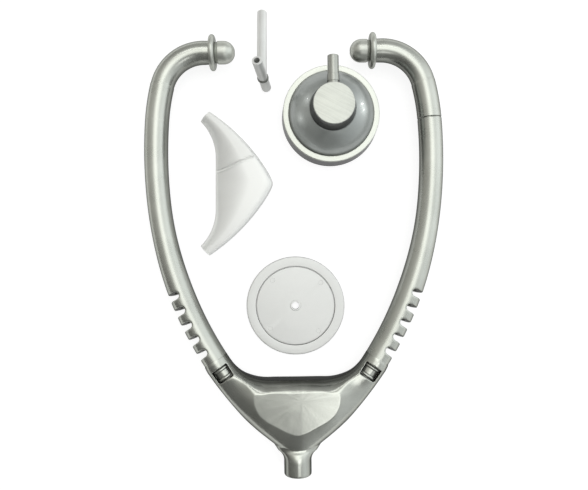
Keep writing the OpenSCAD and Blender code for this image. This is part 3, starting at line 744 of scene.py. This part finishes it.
def make_yoke():
    """Moulded yoke: lofted body, hose outlet, flat shield face, back opening, sockets and windows."""
    yoke = solid("yoke_shell", yoke_rings(14, 72, 128))
    outlet = arc_profile((OUTLET_R - OUTLET_EDGE_R, OUTLET_Y + STUB_SHORTER + OUTLET_EDGE_R),
                         OUTLET_EDGE_R, -90, 0, 8)
    outlet.append((OUTLET_R, OUTLET_Y + OUTLET_LEN + 0.5))
    stub = solid("outlet", [ellipse(y, r, r, 64) for r, y in outlet])
    combine(yoke, [stub, solid("flare", outlet_flare())], "UNION")
    low = HEADSET_Y - 20
    high = HEADSET_Y + 90
    cutters = [
        block("shield_plane", (-CUT_REACH, low, ARM_Z + SHIELD_H), (CUT_REACH, high, CUT_REACH)),
        block("back_plane", (-CUT_REACH, low, -CUT_REACH / 2), (CUT_REACH, high, 0)),
        prism("back_opening", cover_outline(COVER_GAP, 40), -1, CAVITY_DEPTH),
        solid("outlet_bore", [ellipse(y, OUTLET_BORE_R, OUTLET_BORE_R, 48)
                              for y in (OUTLET_Y - 1, OUTLET_Y + OUTLET_BORE_LEN)]),
    ]
    socket_end = WINDOW_DEG + (FLANGE_OFFSET + PLUG_TAIL + PLUG_GAP) * DEG_PER_MM
    for side in (1, -1):
        path = arc_path(LOWER_C, LOWER_R, -socket_end, -NECK_END_DEG + 0.5, 16, FLANGE_R + PLUG_GAP)
        cutters.append(solid("socket", tube_rings(path, 48, side)))
        window = [on_lower_curve(WINDOW_DEG, [(x, y, z) for x, y in window_corners(0)], side)
                  for z in (WINDOW_FLOOR, WINDOW_TOP)]
        cutters.append(solid("window", window))
    combine(yoke, cutters, "DIFFERENCE")
    soften(yoke, YOKE_VOXEL, YOKE_PASSES)
    return dress(yoke, YOKE_SILVER, "headset", ["yoke_body"])


def slot_cutter(deg, side):
    """Slot with a round end, leaning through the arm's thickness."""
    end_x = arm_radius(-deg) - SLOT_DEPTH + SLOT_W / 2
    outline = [(end_x + 9, -SLOT_W / 2), (end_x + 9, SLOT_W / 2)]
    outline += [(end_x + SLOT_W / 2 * math.cos(math.radians(a)), SLOT_W / 2 * math.sin(math.radians(a)))
                for a in range(90, 271, 12)]
    tilt = math.radians(-SLOT_TILT_DEG)
    rings = []
    for z in (-12, 12):
        points = [(x, *turned(y, z, tilt)) for x, y in outline]
        rings.append(on_lower_curve(deg, points, side))
    return solid("slot", rings)


def arm_radius(deg):
    """The arm is a little thicker in its neck; deg is negative below the join."""
    return ARM_R + NECK_SWELL * ease((-deg - NECK_SWELL_FROM_DEG) / NECK_SWELL_RUN_DEG)


def make_arm(side, word):
    """One slotted arm from just inside the yoke to the ear tube; the left one hides the seam there."""
    root_deg = -NECK_END_DEG - ARM_ROOT_TUCK * DEG_PER_MM
    path = arc_path(LOWER_C, LOWER_R, root_deg, -JOIN_DEG, 150, arm_radius)
    path += arc_path(UPPER_C, UPPER_R, -JOIN_DEG, EAR_SEAM_DEG, 60,
                     lambda deg: lerp(ARM_R, ARM_TOP_R, (deg + JOIN_DEG) / ARM_TAPER_RUN_DEG))[1:]
    if side < 0:
        tuck = math.degrees(EAR_TUCK / EAR_ARC_R)
        path += arc_path(EAR_C, EAR_ARC_R, EAR_SEAM_DEG, EAR_SEAM_DEG + tuck, 6,
                         lambda deg: lerp(ARM_TOP_R, EAR_TUCK_R, (deg - EAR_SEAM_DEG) / tuck))[1:]
    arm = solid(word + "_arm", tube_rings(path, 64, side))
    bore = [(x, y, nx, ny, BORE_R) for x, y, nx, ny, r in path[::2]]
    first = arc_path(LOWER_C, LOWER_R, -NECK_END_DEG - 0.6, -NECK_END_DEG - 0.4, 1, BORE_R)
    last = arc_path(UPPER_C, UPPER_R, EAR_SEAM_DEG + 0.8, EAR_SEAM_DEG + 1.0, 1, BORE_R)
    cutters = [solid("bore", tube_rings(first + bore + last, 32, side))]
    for i in range(SLOT_COUNT):
        cutters.append(slot_cutter(SLOT_FIRST_DEG + i * SLOT_PITCH * DEG_PER_MM, side))
    combine(arm, cutters, "DIFFERENCE")
    soften(arm, ARM_VOXEL, ARM_PASSES)
    dress(arm, SILVER, None, [word + "_flex_neck", word + "_arm_tube"])
    start = on_lower_curve(NECK_END_DEG, [(0, 0, 0)], side)[0]
    end = on_lower_curve(NECK_TOP_DEG, [(0, 0, 0)], side)[0]
    tuple(v * MM for v in start)
    tuple(v * MM for v in end)
    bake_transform(arm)
    return arm


def make_plug(side, word):
    """Snap plug behind the window: two rounded flanges on a thinner core, over a seat."""
    stations = [(NECK_END_DEG + 0.2, PLUG_R)]
    for offset in (-FLANGE_OFFSET, FLANGE_OFFSET):
        stations.append((WINDOW_DEG + (offset - FLANGE_L / 2) * DEG_PER_MM, PLUG_R))
        for i in range(9):
            t = 2 * i / 8 - 1
            stations.append((WINDOW_DEG + (offset + t * FLANGE_L / 2) * DEG_PER_MM,
                             FLANGE_R - FLANGE_CROWN * t * t))
        stations.append((WINDOW_DEG + (offset + FLANGE_L / 2) * DEG_PER_MM, PLUG_R))
    stations.append((WINDOW_DEG + (FLANGE_OFFSET + PLUG_TAIL) * DEG_PER_MM, PLUG_R))
    path = []
    for deg, r in stations:
        path += arc_path(LOWER_C, LOWER_R, -deg, -deg, 1, r)[:1]
    plug = solid(word + "_snap_plug", tube_rings(path, 48, side))
    seat = [on_lower_curve(WINDOW_DEG, [(x, y, z) for x, y in window_corners(SEAT_MARGIN)], side)
            for z in SEAT_HEIGHTS]
    combine(plug, [solid("seat", seat)], "UNION")
    return dress(plug, SILVER, "headset", [], 40)


def make_ear(side, word):
    """Ear tube, collar and ball tip of one side; the seam shows on the right only."""
    body = word + "_arm"
    seam = EAR_SEAM_W if side > 0 else 0.0
    path = arc_path(EAR_C, EAR_ARC_R, EAR_SEAM_DEG, EAR_BEND_DEG, 24, EAR_TUBE_R + EAR_ROOT_SWELL)
    path += arc_path(BEND_C, EAR_BEND_R, EAR_BEND_DEG, 90, 48, EAR_TUBE_R)[1:]
    for i in range(1, 5):
        r = EAR_TUBE_R - EAR_END_TAPER * i
        path.append((lerp(BEND_C[0], EAR_END_X, i / 4), EAR_AXIS_Y, 0, 1, r))
    x, y, nx, ny, r = path[0]
    path[0] = (x, y + seam, nx, ny, r)
    path.insert(0, (x, y, nx, ny, r - seam))
    tube = solid(word + "_ear_pipe", tube_rings(path, 64, side))
    dress(tube, SILVER, body, [word + "_ear_tube"], 40)

    def place(u, v, h):
        return in_frame(side * h, EAR_AXIS_Y + u, v)

    x0 = EAR_END_X - COLLAR_T
    edge = COLLAR_T / 2
    profile = [(BORE_R, x0)] + arc_profile((COLLAR_R - edge, x0 + edge), edge, -90, 90, 14)
    profile += [(BORE_R, EAR_END_X)]
    collar = lathe(word + "_collar_ring", profile, 96, place)
    dress(collar, TIP, body, [word + "_ear_collar"], 50)

    x1 = x0 - TIP_NECK_LEN
    dome_x = x1 - TIP_BARREL
    hole_deg = math.degrees(math.acos(TIP_HOLE_R / TIP_R))
    plug_r = BORE_R - TIP_PLUG_GAP
    plug_x = EAR_END_X + TIP_PLUG_LEN
    profile = [(TIP_HOLE_R, plug_x), (plug_r, plug_x), (plug_r, x0)]
    profile += [(TIP_NECK_R, x0), (TIP_NECK_R + 0.3, x0 - 0.3), (TIP_NECK_R + 0.4, x1)]
    profile += arc_profile((TIP_R - TIP_EDGE_R, x1 - TIP_EDGE_R), TIP_EDGE_R, 90, 0, 6)
    profile += [(r, 2 * dome_x - h) for r, h in arc_profile((0, dome_x), TIP_R, 0, hole_deg, 24)]
    tip = lathe(word + "_ball_tip", profile, 72, place)
    dress(tip, TIP, body, [word + "_ear_tip"], 50)


# Chest piece

def bell_place(u, v, h):
    return (BELL_X + u, BELL_Y + v, h)


def bell_profile():
    """The bell's wall: skirt, seat of the rim, dome and hub outside, then the hollow inside."""
    dome_c = (HUB_BASE_R - DOME_INSET, RIM_Z - DOME_SINK)
    low = math.degrees(math.asin(DOME_SINK / DOME_R))
    high = math.degrees(math.acos((HUB_BASE_R - dome_c[0]) / DOME_R))
    foot_z = dome_c[1] + DOME_R * math.sin(math.radians(high))
    base_r = BELL_BASE_R - 0.1
    skirt_r = RIM_R - 0.7
    skirt_z = RIM_Z - RIM_T
    face_z = HUB_Z - HUB_FACE_T
    profile = [(BELL_BASE_R - BELL_WALL, 0), (BELL_BASE_R - 0.3, 0), (BELL_BASE_R, 0.3), (base_r, 0.8)]
    profile += [(lerp(base_r, skirt_r, t / 6), lerp(0.8, skirt_z, t / 6)) for t in range(1, 7)]
    profile += [(RIM_IN_R - 0.1, skirt_z), (RIM_IN_R - 0.1, RIM_Z - 0.25)]
    profile += arc_profile(dome_c, DOME_R, low, high, 40)
    profile += [(HUB_BASE_R - 0.25, foot_z + 0.5), (HUB_BASE_R - 0.45, foot_z + 1.2)]
    profile += [(HUB_R + 0.15, HUB_Z - 0.8), (HUB_R, face_z), (HUB_R - 0.6, face_z)]
    profile += [(AXIS_R, face_z), (AXIS_R, HUB_Z - 2.4), (HUB_R - 2.2, HUB_Z - 2.4)]
    profile += [(HUB_R - 2, HUB_Z - 11), (HUB_BASE_R - 2, foot_z - BELL_WALL)]
    profile += arc_profile(dome_c, DOME_R - BELL_WALL, high, low, 24)
    profile += [(RIM_IN_R - BELL_WALL, skirt_z - 1.2), (skirt_r - BELL_WALL, skirt_z - 1.2)]
    return profile


def make_bell():
    """Bell of four pieces: shell, scratched hub face in a lighter copy of the shell's plastic as
    painted highlight, rim ring and hose stem.
    """
    dome = lathe("bell_shell", bell_profile(), 160, bell_place)
    dress(dome, DARK, "bell", ["bell_dome"], 35)
    # The hub's top face is a thin disc of its own, lighter than the shell: painted highlight.
    face_low = HUB_Z - 2 * HUB_FACE_T
    face = rounded_profile([(AXIS_R, face_low, 0), (HUB_R - 0.1, face_low, 0),
                            (HUB_R - 0.05, HUB_Z, 0.3), (AXIS_R, HUB_Z, 0)])
    dress(lathe("bell_hub_face", face, 120, bell_place), SCRATCHED_HUB_HIGHLIGHT, "bell", [], 50)
    skirt_z = RIM_Z - RIM_T
    ring = rounded_profile([(RIM_IN_R, skirt_z, 0.1), (RIM_R, skirt_z, 0.35), (RIM_R, RIM_Z, 0.4),
                            (RIM_IN_R, RIM_Z, 0.3)])
    rim = lathe("bell_rim_ring", ring, 160, bell_place)
    dress(rim, BRIGHT, "bell", ["bell_rim"], 50)

    def stem_place(u, v, h):
        return (BELL_X + u, BELL_Y + h, STEM_Z + v)

    outline = rounded_profile([
        (STEM_BORE_R, HUB_R - 3, 0), (STEM_R, HUB_R - 3, 0), (STEM_R, HUB_BASE_R - 0.2, 0),
        (BOSS_R, HUB_BASE_R - 0.2, 0), (BOSS_R, BOSS_REACH, 0.25), (STEM_R, BOSS_REACH, 0),
        (STEM_R, STEM_REACH, 0.35), (STEM_BORE_R, STEM_REACH, 0.2)])
    stem = lathe("bell_stem_tube", outline, 64, stem_place)
    dress(stem, STEM, "bell", ["bell_stem"], 50)


def make_disc():
    """Flat disc: a fine groove inside its outer ring, ejector marks and a ring round the hole."""
    def place(u, v, h):
        return (DISC_X + u, DISC_Y + v, h)

    groove = DISC_SUNK_R - GROOVE_W
    groove_z = DISC_T - GROOVE_DEPTH
    floor_z = DISC_T - DISC_SINK
    ring_z = DISC_T - 0.1
    outline = rounded_profile([
        (DISC_HOLE_R, 0, 0.1), (DISC_R, 0, 0.3), (DISC_R, DISC_T, 0.8), (DISC_SUNK_R, DISC_T, 0.1),
        (DISC_SUNK_R - 0.1, groove_z, 0), (groove, groove_z, 0), (groove - 0.1, floor_z, 0.08),
        (DISC_RING_R + 0.2, floor_z, 0), (DISC_RING_R, ring_z, 0.1), (DISC_HOLE_R, ring_z, 0.15)])
    disc = lathe("diaphragm_plate", outline, 180, place)
    marks = []
    for deg in MARK_DEGS:
        x, y = polar((DISC_X, DISC_Y), MARK_RING_R, deg)
        rings = []
        for r, z in ((MARK_LOW_R, floor_z - 0.12), (MARK_HIGH_R, floor_z + 0.1)):
            rings.append([polar((x, y), r, 360 * j / 32) + (z,) for j in range(32)])
        marks.append(solid("ejector_mark", rings))
    combine(disc, marks, "DIFFERENCE")
    return dress(disc, PALE, "diaphragm", ["diaphragm_disc"], 40)


# Back cover

def cover_ring(a, b, h, steps):
    """One arch of the cover: slow rise from the hollow edge a, steep fall at the outer edge b."""
    thin = COVER_WALL / math.hypot(b[0] - a[0], b[1] - a[1])
    outside = (0, h, range(steps + 1))
    inside = (thin, h - COVER_WALL, range(steps, -1, -1))
    ring = []
    for shrink, height, order in (outside, inside):
        for i in order:
            t = math.pi * i / steps
            outer = math.cos(t) > 0
            power = COVER_OUT_POWER if outer else COVER_IN_POWER
            reach = (1 - COVER_CREST if outer else COVER_CREST) - shrink
            s = COVER_CREST + signed_pow(math.cos(t), 2 / power) * reach
            z = height * max(0.0, math.sin(t)) ** (2 / power)
            ring.append((lerp(a[0], b[0], s), lerp(a[1], b[1], s), z))
    return ring


def beyond_step(x, reach):
    """How far a point of the cover lies beyond the step across its upper wing."""
    return x - lerp(STEP_NEAR, STEP_FAR, ease(reach / STEP_RUN))


def cover_relief(x, reach):
    """Height change of the cover's crown: a fine step across one wing, which then falls away."""
    beyond = beyond_step(x, reach)
    groove = -STEP_GROOVE * math.exp(-(beyond / STEP_GROOVE_W) ** 2)
    lip = STEP_LIP * math.exp(-((beyond + STEP_LIP_BACK) / STEP_LIP_W) ** 2)
    return groove + lip - WING_FALL * max(0.0, beyond)


def make_cover():
    """Arched shell that closes the yoke's back, lying with its crown up."""
    steps = 110
    across = 44
    rings = []
    for i in range(steps + 1):
        part = i / steps
        height = lerp(COVER_H_HORN, COVER_H_MID, 1 - (1 - part) ** 2)
        rings.append(cover_ring(cover_inner(part, 0), cover_outer(part, 0), height, across))
    turn = math.radians(COVER_TURN_DEG)
    placed = []
    for ring in mirrored(rings):
        row = []
        for k, (x, y, z) in enumerate(ring):
            y -= YOKE_TOP_Y - YOKE_WALL
            if 0 < k < across:
                z += cover_relief(x, -y) * min(1.0, z / 3)
            u, v = turned(x, y, turn)
            row.append((COVER_X + u, COVER_Y + v, z))
        placed.append(row)
    cover = solid("back_cover_shell", placed)
    dress(cover, COVER, "cover", ["yoke_back_cover"], 35)
    # Faces beyond the step take the darker copy: painted shade.
    cover.data.materials.append(COVER_WING_SHADE)
    for face in cover.data.polygons:
        x = face.center.y / MM - COVER_Y
        reach = face.center.x / MM - COVER_X
        face.material_index = 1 if beyond_step(x, reach) > 0 else 0
    return cover


# Tee connector

def tee_place(x, y, z):
    """A point of the tee with its branch along Y, rolled and leaned into its resting place."""
    x, z = turned(x, z, TEE_ROLL)
    y, z = turned(y, z, -TEE_LEAN)
    return (TEE_X + x, TEE_Y + y, TEE_Z + z)


def tee_rod(name, r, low, high, upright, chamfer):
    """A rod with chamfered ends, along the legs if it is upright and along the branch if not."""
    rings = []
    for h, radius in ((low, r - chamfer), (low + chamfer, r), (high - chamfer, r), (high, r - chamfer)):
        ring = []
        for j in range(48):
            u, v = polar((0, 0), radius, 360 * j / 48)
            ring.append(tee_place(u, v, h) if upright else tee_place(u, h, v))
        rings.append(ring)
    return solid(name, rings)


def make_tee():
    """Tee of thin tube, leaning on a leg and on its branch's end, with a collar on the leg coloured
    dark as painted shade.
    """
    tee = tee_rod("tee_tube", TEE_R, -TEE_LEG, TEE_LEG, True, 0.2)
    combine(tee, [tee_rod("branch", TEE_R, 0, TEE_BRANCH, False, 0.2)], "UNION")
    combine(tee, [tee_rod("leg_bore", TEE_BORE_R, -TEE_LEG - 1, TEE_LEG + 1, True, 0.01),
                  tee_rod("branch_bore", TEE_BORE_R, 0, TEE_BRANCH + 1, False, 0.01)], "DIFFERENCE")
    dress(tee, TEE, "connector", ["tee_connector"], 35)
    # The collar ring is coloured dark: painted shade in the groove below the branch.
    top = TEE_COLLAR_LIFT - TEE_R
    collar = tee_rod("tee_collar_ring", TEE_COLLAR_R, top - TEE_COLLAR_LEN, top, True, 0.25)
    dress(collar, TEE_COLLAR_SHADE, "connector", [], 35)


make_yoke()
for side_sign, side_word in ((-1, "left"), (1, "right")):
    make_arm(side_sign, side_word)
    make_plug(side_sign, side_word)
    make_ear(side_sign, side_word)
make_bell()
make_disc()
make_cover()
make_tee()


# Floor, light and camera, in metres

FLOOR_SIZE = 3.0
FLOOR_Z = -0.0004
FLOOR_GREY = 0.3
FLOOR_GLOW = 0.85
GLINT_SIZE = (0.05, 0.07)
GLINT_RADIANCE = 60.0
GLINT_AIM = (0.02, 0.06, 0.02)
GLINTS = (
    ("left_high_glint", (-0.72, 0.58, 0.47)),
    ("left_low_glint", (-0.98, 0.00, 0.20)),
    ("right_glint", (0.97, 0.24, 0.16)),
    ("right_back_glint", (0.93, 0.40, 0.22)),
)
PANEL_LEFT_DEG = (-28, -2)
PANEL_RIGHT_DEG = (3, 34)
PANEL_FRONT_DEG = (-15, -4)
PANEL_BACK_DEG = (17, 31)
PANEL_STRENGTH = 1.12
LENS = 34.92
SENSOR = 36.0
CAMERA_X = -0.465 * MM
CAMERA_Y = (HEADSET_Y + 118.3) * MM
CAMERA_Z = 0.300
CAMERA_TURN_DEG = -0.78


def make_floor():
    """White paper with a glow of its own, which keeps it white round the set."""
    size = FLOOR_SIZE
    corners = [(x, y, FLOOR_Z) for x, y in ((-size, -size), (size, -size), (size, size), (-size, size))]
    mesh = bpy.data.meshes.new("floor")
    mesh.from_pydata(corners, [], [(0, 1, 2, 3)])
    floor = bpy.data.objects.new("floor", mesh)
    bpy.context.scene.collection.objects.link(floor)
    mat = bpy.data.materials.new("floor_paper")
    mat.use_nodes = True
    shader = mat.node_tree.nodes["Principled BSDF"]
    shader.inputs["Base Color"].default_value = (FLOOR_GREY, FLOOR_GREY, FLOOR_GREY, 1)
    shader.inputs["Roughness"].default_value = 0.9
    shader.inputs["Specular IOR Level"].default_value = 0.1
    shader.inputs["Emission Color"].default_value = (1, 1, 1, 1)
    shader.inputs["Emission Strength"].default_value = FLOOR_GLOW
    mesh.materials.append(mat)


def area_light(name, place, size, size_y, radiance, aim=None):
    """A softbox of a given radiance; it shines straight down unless it is aimed."""
    data = bpy.data.lights.new(name, "AREA")
    data.shape = "RECTANGLE"
    data.size = size
    data.size_y = size_y
    data.energy = radiance * math.pi * size * size_y
    lamp = bpy.data.objects.new(name, data)
    bpy.context.scene.collection.objects.link(lamp)
    lamp.location = place
    if aim:
        lamp.rotation_euler = (Vector(aim) - Vector(place)).to_track_quat("-Z", "Y").to_euler()
    lamp.visible_camera = False
    return lamp


def make_lights():
    """A box in front, a long one behind, and small ones that light the bell's shell only."""
    area_light("front_box", (0.13, -0.24, 0.50), 0.22, 0.16, 1.6)
    area_light("back_strip", (0.0, 0.40, 0.50), 0.50, 0.12, 1.8)
    glossy = bpy.data.collections.new("glossy_bell")
    glossy.objects.link(bpy.data.objects["bell_shell"])
    for name, place in GLINTS:
        lamp = area_light(name, place, *GLINT_SIZE, GLINT_RADIANCE, aim=GLINT_AIM)
        lamp.light_linking.receiver_collection = glossy


def panel_edge(tree, angle, degs, start, end):
    """A soft edge of the ceiling panel between two angles."""
    return ranged(tree, angle, math.radians(degs[0]), math.radians(degs[1]), start, end)


def make_world():
    """A soft ceiling panel in a dimmer room that is lightest to the right and darkest in front."""
    world = bpy.data.worlds.new("studio")
    world.use_nodes = True
    tree = world.node_tree
    parts = tree.nodes.new("ShaderNodeSeparateXYZ")
    tree.links.new(tree.nodes.new("ShaderNodeTexCoord").outputs["Generated"], parts.inputs["Vector"])
    x, y, z = (parts.outputs[axis] for axis in "XYZ")
    across = sums(tree, "ARCTAN2", x, z)
    along = sums(tree, "ARCTAN2", y, z)
    edges = (
        panel_edge(tree, across, PANEL_LEFT_DEG, 0, 1),
        panel_edge(tree, across, PANEL_RIGHT_DEG, 1, 0),
        panel_edge(tree, along, PANEL_FRONT_DEG, 0, 1),
        panel_edge(tree, along, PANEL_BACK_DEG, 1, 0),
    )
    panel = edges[0]
    for edge in edges[1:]:
        panel = sums(tree, "MULTIPLY", panel, edge)
    left_to_right = ranged(tree, x, -0.9, 0.3, 0.48, 1.05)
    right_wall = ranged(tree, x, 0.3, 0.95, 0.0, 0.4)
    room = sums(tree, "ADD", left_to_right, right_wall)
    front_share = ranged(tree, y, -0.5, 0.15, 1, 0)
    front_dark = ranged(tree, x, 0.0, 0.7, 0.86, 0.45)
    front = sums(tree, "MULTIPLY", front_share, front_dark)
    for end in (sums(tree, "SUBTRACT", 1, front), ranged(tree, y, 0.3, 0.85, 1.0, 0.45)):
        room = sums(tree, "MULTIPLY", room, end)
    light = sums(tree, "MULTIPLY_ADD", panel, PANEL_STRENGTH, room)
    hue = tree.nodes.new("ShaderNodeValToRGB")
    hue.color_ramp.elements[0].color = (1, 0.98, 0.93, 1)
    hue.color_ramp.elements[1].color = (0.95, 0.98, 1, 1)
    tree.links.new(ranged(tree, x, -1.0, 1.0, 0, 1), hue.inputs["Fac"])
    back = tree.nodes["Background"]
    tree.links.new(hue.outputs["Color"], back.inputs["Color"])
    tree.links.new(light, back.inputs["Strength"])
    bpy.context.scene.world = world


def make_camera():
    """Straight above the set, turned by the small lean that the photo has."""
    data = bpy.data.cameras.new("camera")
    data.sensor_width = SENSOR
    data.lens = LENS
    camera = bpy.data.objects.new("camera", data)
    bpy.context.scene.collection.objects.link(camera)
    camera.location = (CAMERA_X, CAMERA_Y, CAMERA_Z)
    camera.rotation_euler = (0, 0, math.radians(CAMERA_TURN_DEG))
    bpy.context.scene.camera = camera
    bpy.context.scene.view_settings.view_transform = "Standard"


make_floor()
make_world()
make_lights()
make_camera()
